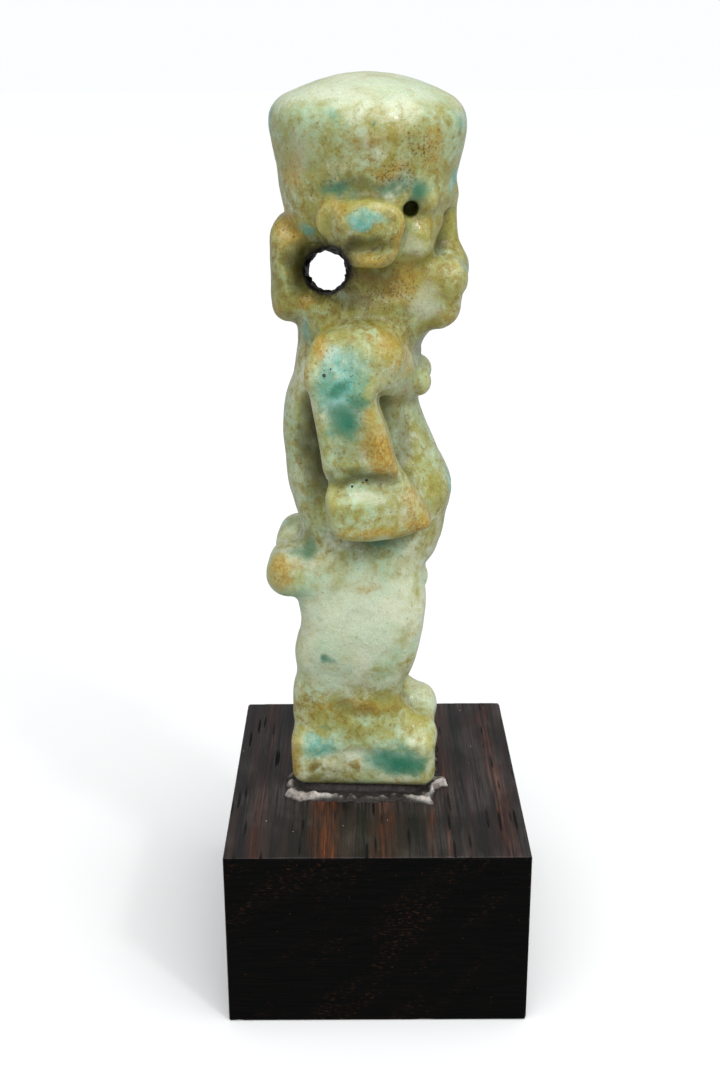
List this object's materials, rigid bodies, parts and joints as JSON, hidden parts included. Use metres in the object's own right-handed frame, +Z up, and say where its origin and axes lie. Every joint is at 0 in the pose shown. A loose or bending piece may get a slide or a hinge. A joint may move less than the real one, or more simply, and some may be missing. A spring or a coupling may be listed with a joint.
{
  "type": "mounted amulet",
  "caption": "Small moulded glazed-ceramic amulet of a squat, lion-eared dwarf god with a domed headdress, pierced for a cord and stuck with putty on a dark wooden block.",
  "frame": {"origin": "middle of the wooden block's flat underside", "axes": "+Z up, the figure's face towards -Y, its right side towards -X"},
  "size_m": [0.0228, 0.02, 0.0605],
  "materials": {
    "faience": "worn pale green glaze with turquoise patches and ochre stains, satin",
    "putty": "ragged grey-white putty, dull",
    "dark_wood": "near-black fine-grained hardwood with reddish-brown streaks, waxed"
  },
  "bodies": {
    "root": {"faience_amulet": "faience", "mounting_putty": "putty", "wooden_block": "dark_wood"}
  },
  "joints": []
}
